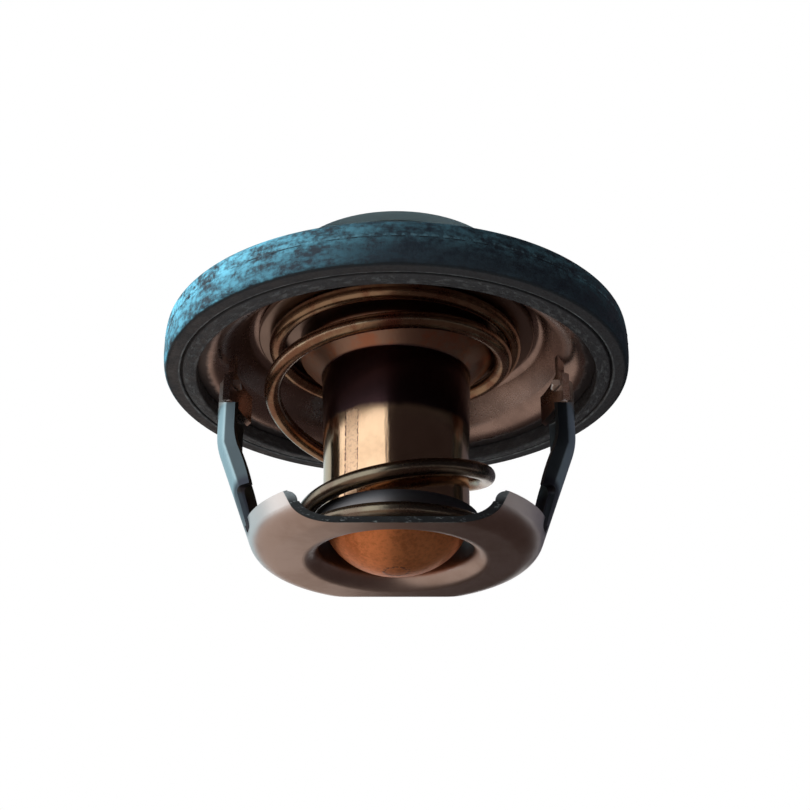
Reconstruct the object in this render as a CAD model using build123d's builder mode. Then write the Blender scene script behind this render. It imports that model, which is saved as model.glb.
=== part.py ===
"""Engine coolant thermostat: a wax capsule that pulls a disc valve off its seat against a spring.

The origin is on the axis, at mid-height of the rubber sealing ring. +Z points to the crown,
-Z to the bulb. The two legs that carry the spring stand at +X and -X. All sizes are in millimetres.
"""
from build123d import *
import math
import os

os.makedirs("parts", exist_ok=True)

# ---------------------------------------------------------------- driving dimensions

# rubber sealing ring, slipped over the flange's rim
seal_radius = 29.65
seal_height = 5.68
seal_band = 2.8                 # height of the straight band round the middle of the outer wall
seal_taper = 0.25               # the outer wall draws in by this much above and below the band
seal_edge_round = 0.8
seal_lip_round = 0.5
seal_cover = 2.55               # rubber outside the flange's rim
seal_lip_width = 1.7            # rubber inside it, over and under the flange
seal_groove_width = 0.45
seal_groove_depth = 0.3
seal_lip_droop = 0.35           # the inner lip hangs this far below the outer band
seal_grip = 0.02                # slack between the rubber and the rim that it grips

# flange, valve seat and crown: one stamping, from the rim inwards
flange_sheet = 0.95
rim_radius = seal_radius - seal_cover
rim_rise = 1.6                  # rim's underside above the seal's underside
brim_width = 4.8
cone_foot_radius = rim_radius - brim_width
cone_run = 3.35
cone_top_radius = cone_foot_radius - cone_run
seat_rise = 7.0                 # seat's underside above the seal's underside
seat_width = 2.75
throat_radius = cone_top_radius - seat_width
throat_draw = 1.0               # the crown's wall draws in by this much on its way up
crown_wall_radius = throat_radius - throat_draw
crown_shoulder = 2.9
crown_cap_radius = crown_wall_radius - crown_shoulder
crown_ball_radius = 2 * crown_cap_radius + 0.4
crown_pad_radius = 4.5          # flat pad where the piston is riveted
crown_rise = 20.75              # crown's top above the seal's underside
window_lap = 0.3                # each window is this much wider than the crown's cap
window_half_width = crown_cap_radius + window_lap
window_sill = 1.6               # above the seat
window_head = 0.2               # below the crown's cap
window_corner = 2.4
cone_foot_bend = 4.0            # bends of the sheet's underside
cone_top_bend = 1.4
throat_bend = 1.05
shoulder_bend = 2.4

# legs of the lower bridge; their tongues run up outside the lugs and hook in through the lugs' slots
bridge_sheet = 0.75
leg_stand = 0.2                 # outside the foot of the flange's cone
leg_reach = cone_foot_radius + leg_stand
leg_top_drop = 4.47             # corners of the leg's top below the seal's underside
leg_crest = 1.5                 # the top climbs this far from its corners to the tongue
leg_half_width = 4.0
leg_bulge = 2.5
hook_drop = 1.7                 # hook's middle below the flange's rim
hook_half_width = 0.8
hook_proud = 0.45
hook_bend = 0.45
hook_clearance = 0.15           # in the lug's slot

# lugs under the flange
lug_sheet = 0.8
lug_gap = 0.3                   # between the lug's middle and the tongue
lug_reach = leg_reach - bridge_sheet - lug_gap
lug_bulge = 1.05                # depth of the lug's gutter
lug_half_width = 4.0
lug_neck_half_width = 0.45
lug_root = 2.4                  # the neck runs this far up into the flange's sheet
lug_shoulder_drop = 2.2         # from the flange down to the lug's full width
lug_foot_gap = 0.27             # between the lug and the leg's top
lug_turn = 17.0                 # degrees, each lug is twisted about its neck

# lower bridge: a trough for the spring, with two gutter-shaped legs
bridge_drop = 24.0              # trough's underside below the seal's underside
collar_height = 5.3
collar_bend = 2.0
trough_floor_width = 5.2        # flat of the trough, from the collar's hole outwards
trough_trim_inset = 1.45        # the trough is cut straight front and back, inside its flat
trough_wall_bend = 3.4
trough_wall_angle = 70.0
trough_wall_height = 3.8
ear_round = 1.2                 # at the four corners where the wall meets the straight cuts
leg_bend_length = 3.0           # the leg turns inwards over this height
leg_low_bulge = 2.1
leg_low_rise = 5.0              # above the foot, where the gutter has that smaller bulge
notch_depth = 1.8               # relief notches beside each leg's foot
notch_reach = 1.1               # into the trough's wall, sideways and downwards
notch_front_height = 4.9        # above the trough's wall
notch_back_height = 3.0
notch_round = 0.85

# valve disc
disc_inset = 1.1               # inside the edge where the seat turns into the cone
disc_radius = cone_top_radius - disc_inset
disc_sheet = 0.9
disc_edge_round = 0.25
seat_gap = 0.05

# return spring
wire_radius = 1.04
spring_edge_inset = 2.75       # middle of the widest coil inside the disc's edge
spring_high_radius = disc_radius - spring_edge_inset
spring_collar_gap = 0.26
spring_side_reach = 1.0         # the open turn stands off this far towards -X
spring_floor_gap = 0.35         # the bend of the collar keeps the wire off the trough's floor
spring_top_gap = 0.03

# wax capsule: cup, guide, diaphragm, wax
head_gap = 1.66                 # between the cup's head and the widest coil
head_radius = spring_high_radius - wire_radius - head_gap
head_height = 2.37              # straight side of the cup's head, up to the disc
head_wall = 0.9
cone_drop = 2.96
cup_radius = head_radius - 2.9  # at the head's cone
cup_taper = 0.45
cup_mid_radius = cup_radius - cup_taper
cup_mid_drop = 12.7             # below the cone
cup_low_radius = cup_mid_radius - 0.05
cup_low_drop = 6.1
bulb_length = 0.8 * cup_low_radius
cup_wall = 0.9
crimp_sheet = 0.7
crimp_lap = 1.8
crimp_radius = head_radius - crimp_lap
diaphragm_sheet = 0.6
guide_flange = 1.0
guide_neck_radius = 5.5
guide_collar_radius = 6.7
guide_collar_height = 0.9
guide_nose_radius = 4.4
guide_nose_height = 4.6
plug_height = 1.7

# piston
piston_radius = 2.3
piston_running_gap = 0.04
piston_spigot_radius = 1.7
piston_rivet_radius = 2.9
piston_rivet_height = 0.75
fit_gap = 0.02

# the trough's radii follow the bulb that it lets through
bulb_gap = 0.4
collar_radius = cup_low_radius + bulb_gap
spring_low_radius = collar_radius + bridge_sheet + spring_collar_gap + wire_radius
trough_floor_radius = collar_radius + trough_floor_width
trough_trim = trough_floor_radius - trough_trim_inset

# ---------------------------------------------------------------- levels along the axis

seal_bottom = -seal_height / 2
seal_top = seal_height / 2
rim_level = seal_bottom + rim_rise
seat_level = seal_bottom + seat_rise
crown_level = seal_bottom + crown_rise
crown_underside = crown_level - flange_sheet
disc_bottom = seat_level - seat_gap - disc_sheet
head_edge_level = disc_bottom - head_height
cone_level = head_edge_level - cone_drop
cup_mid_level = cone_level - cup_mid_drop
bulb_level = cup_mid_level - cup_low_drop
bridge_bottom = seal_bottom - bridge_drop
leg_top = seal_bottom - leg_top_drop
head_bottom = leg_top + lug_foot_gap
hook_level = rim_level - hook_drop


def moved_outline(outline, bends, sheet):
    """The outline moved to its left by the sheet's thickness, and the bends that go with it."""
    points = [Vector(*point) for point in outline]
    runs = [(after - before).normalized() for before, after in zip(points, points[1:])]
    lefts = [Vector(-run.Y, run.X) for run in runs]
    moved = [points[0] + lefts[0] * sheet]
    moved_bends = []
    for point, before, after, bend in zip(points[1:], lefts, lefts[1:], bends):
        moved.append(point + (before + after) * (sheet / (1 + before.dot(after))))
        moved_bends.append(bend - math.copysign(sheet, sheet * before.cross(after).Z))
    moved.append(points[-1] + lefts[-1] * sheet)
    return moved, moved_bends


def sheet_ring(outline, bends, sheet, inner_cap=(), outer_cap=()):
    """Revolve an outline of (radius, height) points, thickened to its left, about the axis.

    The caps close it over the axis: an arc through the first point to the second, and a line on.
    """
    moved, moved_bends = moved_outline(outline, bends, sheet)
    with BuildPart() as ring:
        with BuildSketch(Plane.XZ):
            with BuildLine():
                face = FilletPolyline(*outline, radius=bends)
                back = FilletPolyline(*moved, radius=moved_bends)
                Line(face @ 0, back @ 0)
                ends = []
                for run, cap in ((face, inner_cap), (back, outer_cap)):
                    if cap:
                        ThreePointArc(run @ 1, cap[0], cap[1])
                        Line(cap[1], cap[2])
                    ends.append(cap[2] if cap else run @ 1)
                Line(*ends)
            make_face()
        revolve(axis=Axis.Z)
    return ring.part


def gutter(reach, bulge, half_width, sheet):
    """The section of a gutter that bulges towards +X."""
    outer = (half_width**2 + bulge**2) / (2 * bulge)
    half_angle = math.degrees(math.asin(half_width / outer))
    with BuildSketch() as section:
        with BuildLine():
            outside = CenterArc((reach - outer, 0), outer, -half_angle, 2 * half_angle)
            inside = CenterArc((reach - outer, 0), outer - sheet, -half_angle, 2 * half_angle)
            Line(outside @ 0, inside @ 0)
            Line(outside @ 1, inside @ 1)
        make_face()
    return section.sketch


# ---------------------------------------------------------------- rubber sealing ring
with BuildPart() as rubber_seal:
    seal_lip_radius = rim_radius - seal_lip_width
    groove_inner = rim_radius
    groove_outer = groove_inner + seal_groove_width
    rim_top = rim_level + flange_sheet
    with BuildSketch(Plane.XZ):
        with BuildLine():
            Polyline(
                (seal_lip_radius, seal_bottom - seal_lip_droop),
                (groove_inner - seal_groove_width, seal_bottom - seal_lip_droop / 2),
                (groove_inner, seal_bottom),
                (groove_inner + seal_groove_width / 2, seal_bottom + seal_groove_depth),
                (groove_outer, seal_bottom),
                (seal_radius - seal_taper, seal_bottom),
                (seal_radius, -seal_band / 2),
                (seal_radius, seal_band / 2),
                (seal_radius - seal_taper, seal_top),
                (seal_lip_radius, seal_top),
                (seal_lip_radius, rim_top + seal_grip),
                (rim_radius + seal_grip, rim_top + seal_grip),
                (rim_radius + seal_grip, rim_level - seal_grip),
                (seal_lip_radius, rim_level - seal_grip),
                close=True,
            )
        make_face()
    revolve(axis=Axis.Z)
    wall_edges = rubber_seal.edges().filter_by(GeomType.CIRCLE).sort_by(SortBy.RADIUS)[-4:]
    fillet(wall_edges.sort_by(SortBy.RADIUS)[:2], seal_edge_round)
    upper_lip = rubber_seal.edges().group_by(Axis.Z)[-1].sort_by(SortBy.RADIUS)[0]
    lower_lip = rubber_seal.edges().group_by(Axis.Z)[0]
    fillet([upper_lip] + list(lower_lip), seal_lip_round)
rubber_seal.part.label = "rubber_seal"


# ---------------------------------------------------------------- flange with seat, crown and lugs
# the crown's inside and outside are parts of two balls about one centre
crown_centre = crown_underside - math.sqrt(crown_ball_radius**2 - crown_pad_radius**2)
crown_skin = crown_ball_radius + flange_sheet
half_slope = math.asin((crown_cap_radius + crown_pad_radius) / 2 / crown_ball_radius)
cap_slope = math.asin(crown_cap_radius / crown_ball_radius)
cap_level = crown_centre + crown_ball_radius * math.cos(cap_slope)
shoulder_level = cap_level - crown_shoulder * math.tan(cap_slope)


def ball_point(radius, slope):
    """A point of a ball about the crown's centre, where its surface has this slope."""
    return radius * math.sin(slope), crown_centre + radius * math.cos(slope)


def make_lug():
    """The lug at +X: a narrow neck and a gutter-shaped head with two lobes, twisted on its neck."""
    with BuildPart() as lug:
        with BuildSketch(Plane.XY.offset(head_bottom)):
            add(gutter(lug_reach, lug_bulge, lug_half_width, lug_sheet))
        extrude(amount=rim_level + lug_root - head_bottom)
        with BuildSketch(Plane.YZ):
            with BuildLine():
                Polyline(
                    (0, rim_level + lug_root),
                    (lug_neck_half_width, rim_level + lug_root),
                    (lug_neck_half_width, rim_level),
                    (lug_half_width, rim_level - lug_shoulder_drop),
                    (lug_half_width, head_bottom),
                    (hook_half_width, head_bottom + leg_crest),
                    (0, head_bottom + leg_crest),
                    close=True,
                )
            make_face()
            mirror(about=Plane.YZ)
        extrude(amount=2 * lug_reach, mode=Mode.INTERSECT)
    neck = Axis((lug_reach - lug_sheet / 2, 0, 0), (0, 0, 1))
    return lug.part.rotate(neck, lug_turn)


right_lug = make_lug()
left_lug = mirror(right_lug, about=Plane.YZ)
pressed_flange = sheet_ring(
    [
        (rim_radius, rim_level),
        (cone_foot_radius, rim_level),
        (cone_top_radius, seat_level),
        (throat_radius, seat_level),
        (crown_wall_radius, shoulder_level),
        (crown_cap_radius, cap_level),
    ],
    [cone_foot_bend, cone_top_bend, throat_bend, shoulder_bend],
    -flange_sheet,
    [
        ball_point(crown_ball_radius, half_slope),
        (crown_pad_radius, crown_underside),
        (0, crown_underside),
    ],
    [
        ball_point(crown_skin, half_slope),
        (math.sqrt(crown_skin**2 - (crown_level - crown_centre) ** 2), crown_level),
        (0, crown_level),
    ],
)
window_bottom = seat_level + window_sill
window_height = cap_level - window_head - window_bottom
with BuildPart() as flange:
    add(pressed_flange)
    with BuildSketch(Plane.XZ.offset(-rim_radius)):
        with Locations((0, window_bottom + window_height / 2)):
            RectangleRounded(2 * window_half_width, window_height, window_corner)
    extrude(amount=2 * rim_radius, mode=Mode.SUBTRACT)
    with BuildSketch(Plane.XY.offset(crown_level)):
        Circle(piston_spigot_radius + fit_gap)
    extrude(amount=-2 * flange_sheet, mode=Mode.SUBTRACT)
    add(right_lug)
    add(left_lug)
    slot_half_width = hook_half_width + hook_clearance
    with BuildSketch(Plane.XZ.offset(-slot_half_width)):
        with Locations((lug_reach, hook_level), (-lug_reach, hook_level)):
            Rectangle(4 * lug_sheet, bridge_sheet + 2 * hook_clearance)
    extrude(amount=2 * slot_half_width, mode=Mode.SUBTRACT)
flange.part.label = "flange"


# ---------------------------------------------------------------- lower bridge
wall_slope = math.radians(trough_wall_angle)
wall_corner = trough_floor_radius + trough_wall_bend * math.tan(wall_slope / 2)
wall_top = bridge_bottom + trough_wall_height
wall_top_radius = wall_corner + trough_wall_height / math.tan(wall_slope)

# each leg carries the trough's wall on, at the same slope, up to the bend below the lug
foot_reach = trough_floor_radius + trough_wall_bend * math.sin(wall_slope)
foot_level = bridge_bottom + trough_wall_bend * (1 - math.cos(wall_slope))
foot_bulge = foot_reach - math.sqrt(foot_reach**2 - leg_half_width**2)
leg_bend = foot_level + (leg_reach - foot_reach) * math.tan(wall_slope)


def make_leg():
    """The leg at +X: the tongue, an upright gutter, a bend and a leaning gutter that flattens."""
    bend_top = leg_bend + leg_bend_length / 2
    with BuildPart() as leg:
        with BuildSketch(Plane.XY.offset(bend_top)):
            add(gutter(leg_reach, leg_bulge, leg_half_width, bridge_sheet))
        extrude(amount=leg_top + leg_crest - bend_top)
        with BuildSketch(Plane.YZ):
            with BuildLine():
                Polyline(
                    (0, leg_top + leg_crest),
                    (hook_half_width, leg_top + leg_crest),
                    (leg_half_width, leg_top),
                    (leg_half_width, bend_top),
                    (0, bend_top),
                    close=True,
                )
            make_face()
            mirror(about=Plane.YZ)
        extrude(amount=2 * leg_reach, mode=Mode.INTERSECT)
        for share in (0, 0.25, 0.5, 0.75, 1):
            drawn_in = share**2 * leg_bend_length / 2 / math.tan(wall_slope)
            with BuildSketch(Plane.XY.offset(bend_top - share * leg_bend_length)):
                add(gutter(leg_reach - drawn_in, leg_bulge, leg_half_width, bridge_sheet))
        loft()
        low_reach = foot_reach + leg_low_rise / math.tan(wall_slope)
        with BuildSketch(Plane.XY.offset(bend_top - leg_bend_length)):
            add(gutter(leg_reach - drawn_in, leg_bulge, leg_half_width, bridge_sheet))
        with BuildSketch(Plane.XY.offset(foot_level + leg_low_rise)):
            add(gutter(low_reach, leg_low_bulge, leg_half_width, bridge_sheet))
        with BuildSketch(Plane.XY.offset(foot_level)):
            add(gutter(foot_reach, foot_bulge, leg_half_width, bridge_sheet))
        loft()
        web = leg_reach - bridge_sheet / 2
        with BuildSketch(Plane.XZ.offset(-hook_half_width)):
            with BuildLine():
                FilletPolyline(
                    (web, leg_top - bridge_sheet),
                    (web, hook_level),
                    (lug_reach - lug_sheet - hook_proud, hook_level),
                    radius=hook_bend,
                )
                offset(amount=bridge_sheet / 2)
            make_face()
        extrude(amount=2 * hook_half_width)
    return leg.part


right_leg = make_leg()
left_leg = mirror(right_leg, about=Plane.YZ)
pressed_trough = sheet_ring(
    [
        (collar_radius, bridge_bottom + collar_height),
        (collar_radius, bridge_bottom),
        (wall_corner, bridge_bottom),
        (wall_top_radius, wall_top),
    ],
    [collar_bend, trough_wall_bend],
    bridge_sheet,
)
with BuildPart() as lower_bridge:
    add(pressed_trough)
    Box(4 * seal_radius, 2 * trough_trim, 4 * bridge_drop, mode=Mode.INTERSECT)
    wall_top_inside = wall_top_radius - bridge_sheet / math.sin(wall_slope)
    ear_middle = math.sqrt(wall_top_inside**2 - trough_trim**2) + 0.6 * ear_round
    with BuildSketch(Plane.XZ):
        for side in (1, -1):
            with Locations((side * (ear_middle - ear_round), wall_top)):
                Rectangle(2 * ear_round, 2 * ear_round)
        for side in (1, -1):
            with Locations((side * ear_middle, wall_top - ear_round)):
                Circle(ear_round, mode=Mode.SUBTRACT)
    extrude(amount=2 * trough_trim, both=True, mode=Mode.SUBTRACT)
    add(right_leg)
    add(left_leg)
    notch_width = notch_depth + notch_reach
    notch_side = leg_half_width + notch_reach - notch_width / 2
    for side in (1, -1):
        with BuildSketch(Plane.YZ.offset(side * trough_floor_radius)):
            for place, height in ((-notch_side, notch_front_height), (notch_side, notch_back_height)):
                with Locations((place, wall_top + (height - notch_reach) / 2)):
                    RectangleRounded(notch_width, height + notch_reach, notch_round)
        extrude(amount=side * leg_reach, mode=Mode.SUBTRACT)
lower_bridge.part.label = "lower_bridge"


# ---------------------------------------------------------------- valve disc
guide_seat = disc_bottom - crimp_sheet
with BuildPart() as valve_disc:
    with BuildSketch(Plane.XY.offset(disc_bottom)):
        Circle(disc_radius)
        Circle(guide_neck_radius + fit_gap, mode=Mode.SUBTRACT)
    extrude(amount=disc_sheet)
    rim_edges = valve_disc.edges().filter_by(GeomType.CIRCLE).sort_by(SortBy.RADIUS)[-2:]
    fillet(rim_edges, disc_edge_round)
valve_disc.part.label = "valve_disc"


# ---------------------------------------------------------------- wax capsule
ledge_level = guide_seat - guide_flange - diaphragm_sheet
chamber_radius = cup_low_radius - cup_wall
head_bore = head_radius - head_wall
bulb_tip = bulb_level - bulb_length

with BuildPart() as element_cup:
    with BuildSketch(Plane.XZ):
        with BuildLine():
            Polyline(
                (crimp_radius, guide_seat),
                (crimp_radius, disc_bottom),
                (head_radius, disc_bottom),
                (head_radius, head_edge_level),
                (cup_radius, cone_level),
                (cup_mid_radius, cup_mid_level),
                (cup_low_radius, bulb_level),
            )
            EllipticalCenterArc((0, bulb_level), cup_low_radius, bulb_length, 270, arc_size=90)
            Line((0, bulb_tip), (0, bulb_tip + cup_wall))
            chamber_depth = bulb_length - cup_wall
            EllipticalCenterArc((0, bulb_level), chamber_radius, chamber_depth, 270, arc_size=90)
            Polyline(
                (chamber_radius, bulb_level),
                (chamber_radius, ledge_level),
                (head_bore, ledge_level),
                (head_bore, guide_seat),
                (crimp_radius, guide_seat),
            )
        make_face()
    revolve(axis=Axis.Z)
element_cup.part.label = "element_cup"

with BuildPart() as wax:
    with BuildSketch(Plane.XZ):
        with BuildLine():
            wax_radius = chamber_radius - fit_gap
            wax_depth = chamber_depth - fit_gap
            EllipticalCenterArc((0, bulb_level), wax_radius, wax_depth, 270, arc_size=90)
            Polyline(
                (wax_radius, bulb_level),
                (wax_radius, ledge_level - fit_gap),
                (0, ledge_level - fit_gap),
                (0, bulb_tip + cup_wall + fit_gap),
            )
        make_face()
    revolve(axis=Axis.Z)
wax.part.label = "wax"

bore_radius = piston_radius + piston_running_gap
with BuildPart() as diaphragm:
    with BuildSketch(Plane.XY.offset(ledge_level)):
        Circle(head_bore - fit_gap)
    extrude(amount=diaphragm_sheet - fit_gap)
    with BuildSketch(Plane.XY.offset(ledge_level)):
        Circle(bore_radius - fit_gap)
    extrude(amount=diaphragm_sheet + plug_height)
diaphragm.part.label = "diaphragm"

nose_level = disc_bottom + disc_sheet + guide_collar_height + guide_nose_height
with BuildPart() as guide:
    with BuildSketch(Plane.XZ):
        with BuildLine():
            Polyline(
                (bore_radius, guide_seat - guide_flange),
                (head_bore - fit_gap, guide_seat - guide_flange),
                (head_bore - fit_gap, guide_seat - fit_gap),
                (crimp_radius - fit_gap, guide_seat - fit_gap),
                (crimp_radius - fit_gap, disc_bottom - fit_gap),
                (guide_neck_radius, disc_bottom - fit_gap),
                (guide_neck_radius, disc_bottom + disc_sheet + fit_gap),
                (guide_collar_radius, disc_bottom + disc_sheet + fit_gap),
                (guide_collar_radius, disc_bottom + disc_sheet + guide_collar_height),
                (guide_nose_radius, disc_bottom + disc_sheet + 1.6 * guide_collar_height),
                (guide_nose_radius, nose_level),
                (bore_radius, nose_level),
                close=True,
            )
        make_face()
    revolve(axis=Axis.Z)
    nose_edge = guide.edges().group_by(Axis.Z)[-1].sort_by(SortBy.RADIUS)[-1]
    chamfer(nose_edge, guide_collar_height)
guide.part.label = "guide"


# ---------------------------------------------------------------- piston, riveted into the crown
piston_foot = ledge_level + diaphragm_sheet + plug_height + fit_gap
with BuildPart() as piston:
    with BuildSketch(Plane.XY.offset(piston_foot)):
        Circle(piston_radius)
    extrude(amount=crown_underside - fit_gap - piston_foot)
    chamfer(piston.edges().group_by(Axis.Z)[0], piston_radius / 6)
    with BuildSketch(Plane.XY.offset(crown_underside - fit_gap)):
        Circle(piston_spigot_radius)
    extrude(amount=flange_sheet + 2 * fit_gap)
    with BuildSketch(Plane.XY.offset(crown_level + fit_gap)):
        Circle(piston_rivet_radius)
    extrude(amount=piston_rivet_height)
    fillet(piston.edges().group_by(Axis.Z)[-1], piston_rivet_height * 0.8)
piston.part.label = "piston"


# ---------------------------------------------------------------- return spring
spring_low = bridge_bottom + bridge_sheet + spring_floor_gap + wire_radius
spring_high = disc_bottom - spring_top_gap - wire_radius
spring_rise = spring_high - spring_low
spring_spread = spring_high_radius - spring_low_radius

# the wire's stations: turns counted from +X, share of the rise, share of the spread, share of the lean
stations = [
    (-0.52, 0.000, 0.00, 0.0),
    (-0.20, 0.000, 0.00, 0.0),
    (0.25, 0.054, -0.03, 0.0),
    (0.50, 0.110, -0.04, 0.0),
    (0.75, 0.190, -0.08, 0.0),
    (1.00, 0.338, -0.05, 0.0),
    (1.36, 0.628, 0.66, 0.8),
    (1.50, 0.742, 0.90, 1.0),
    (1.75, 0.850, 0.95, 1.0),
    (2.00, 0.930, 0.93, 1.0),
    (2.25, 0.984, 0.96, 0.6),
    (2.50, 1.000, 1.00, 0.3),
    (3.00, 1.000, 1.00, 0.0),
]


def station_at(turn):
    """Share of rise, spread and lean at this turn, on a smooth curve through the stations."""
    last = len(stations) - 1
    low = max(i for i in range(last) if stations[i][0] <= turn)
    high = low + 1
    span = stations[high][0] - stations[low][0]
    along = (turn - stations[low][0]) / span
    shares = []
    for column in (1, 2, 3):
        ends = []
        for i in (low, high):
            before = stations[max(i - 1, 0)]
            after = stations[min(i + 1, last)]
            ends.append((after[column] - before[column]) / (after[0] - before[0]) * span)
        start = stations[low][column]
        stop = stations[high][column]
        share = start * (1 + 2 * along) * (1 - along) ** 2 + stop * (3 - 2 * along) * along**2
        share += ends[0] * along * (1 - along) ** 2 - ends[1] * (1 - along) * along**2
        shares.append(share)
    return shares


def wire_point(turn):
    rise, spread, lean = station_at(turn)
    radius = spring_low_radius + spread * spring_spread
    angle = 2 * math.pi * turn
    return (
        radius * math.cos(angle) - lean * spring_side_reach,
        radius * math.sin(angle),
        spring_low + min(max(rise, 0), 1) * spring_rise,
    )


first_turn = stations[0][0]
last_turn = stations[-1][0]
steps = 16 * round(last_turn - first_turn)
turns = [first_turn + (last_turn - first_turn) * i / steps for i in range(steps + 1)]
with BuildPart() as spring:
    with BuildLine():
        wire = Spline(*[wire_point(turn) for turn in turns])
    with BuildSketch(Plane(origin=wire @ 0, z_dir=wire % 0)):
        Circle(wire_radius)
    sweep(path=wire)
spring.part.label = "spring"


# ---------------------------------------------------------------- one file for each piece
pieces = [
    rubber_seal,
    flange,
    lower_bridge,
    piston,
    valve_disc,
    element_cup,
    guide,
    diaphragm,
    wax,
    spring,
]
for piece in pieces:
    export_step(piece.part, f"parts/{piece.part.label}.step")
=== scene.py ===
# %% [markdown]
# # An engine thermostat, seen from below
#
# A thermostat sits in the coolant line of an engine. Wax in a copper capsule swells as it warms,
# and the capsule climbs down a steel piston. That pulls a disc off its seat, against a coil spring.
# The solid model comes in as a fixed frame, in metres. This lesson dresses it: it turns the round
# pieces again with softer edges, winds the spring, and gives each piece the finish of the real one.

# %% Load the frame
import math

import bmesh
import bpy
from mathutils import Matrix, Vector, noise


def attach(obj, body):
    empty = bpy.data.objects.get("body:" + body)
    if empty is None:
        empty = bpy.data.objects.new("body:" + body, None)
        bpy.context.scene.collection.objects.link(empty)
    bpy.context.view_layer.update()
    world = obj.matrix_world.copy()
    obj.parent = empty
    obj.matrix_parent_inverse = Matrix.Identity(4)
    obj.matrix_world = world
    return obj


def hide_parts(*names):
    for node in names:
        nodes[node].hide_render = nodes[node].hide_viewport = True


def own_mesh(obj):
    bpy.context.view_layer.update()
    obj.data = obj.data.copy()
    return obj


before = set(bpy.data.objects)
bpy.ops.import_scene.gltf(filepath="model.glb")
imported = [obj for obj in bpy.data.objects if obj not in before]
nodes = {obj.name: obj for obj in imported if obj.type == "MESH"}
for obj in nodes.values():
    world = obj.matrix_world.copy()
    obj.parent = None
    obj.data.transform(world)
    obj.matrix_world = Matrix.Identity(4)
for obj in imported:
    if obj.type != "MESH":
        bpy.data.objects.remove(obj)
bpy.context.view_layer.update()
scene = bpy.context.scene
MM = 0.001
print("pieces in the frame:", ", ".join(sorted(nodes)))

# %% [markdown]
# ## Words for shader maths
#
# A finish is a graph of shader nodes, and node by node it is hard to read. So a small class stands
# for one socket, and sums and products of it add Math nodes. Every other node comes from one method,
# which takes the node's type, its settings, and what goes into its sockets.


# %% One socket that can be added and multiplied
class Flow:
    """An output socket of a graph. Arithmetic on it adds Math nodes to that graph."""

    def __init__(self, graph, socket):
        self.graph = graph
        self.socket = socket

    def __add__(self, other):
        return self.graph.math("ADD", self, other)

    def __sub__(self, other):
        return self.graph.math("SUBTRACT", self, other)

    def __rsub__(self, other):
        return self.graph.math("SUBTRACT", other, self)

    def __mul__(self, other):
        return self.graph.math("MULTIPLY", self, other)

    __radd__ = __add__
    __rmul__ = __mul__


print("a flow can be added, subtracted and multiplied")


# %% A graph of nodes
class Graph:
    """The node tree of a finish or of the world."""

    def __init__(self, tree):
        self.tree = tree

    def node(self, kind, settings=None, sockets=None, out=0):
        """A new node: the flow out of one of its sockets, or the node itself where out is None."""
        node = self.tree.nodes.new(kind)
        for key, value in (settings or {}).items():
            setattr(node, key, value)
        for key, value in (sockets or {}).items():
            if isinstance(value, Flow):
                self.tree.links.new(value.socket, node.inputs[key])
            else:
                node.inputs[key].default_value = value
        return node if out is None else Flow(self, node.outputs[out])

    def math(self, operation, first, second=0.0, clamp=False):
        settings = {"operation": operation, "use_clamp": clamp}
        return self.node("ShaderNodeMath", settings, {0: first, 1: second})

    def mix(self, factor, first, second):
        """A colour between two colours."""
        pair = [colour if isinstance(colour, Flow) else (*colour, 1) for colour in (first, second)]
        sockets = {0: factor, 6: pair[0], 7: pair[1]}
        return self.node("ShaderNodeMix", {"data_type": "RGBA"}, sockets, 2)


print("a graph can do maths and mix colours")

# %% [markdown]
# A finish measures in millimetres, as the outlines do. The place comes from Object coordinates, so a
# pattern stays where it is on the piece when the valve moves. A painted texture would do that too,
# but noise needs no unwrapping and has no seams. From the place come the distance from the axis and
# the angle round it, because most marks on turned and pressed pieces run round the axis.


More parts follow.
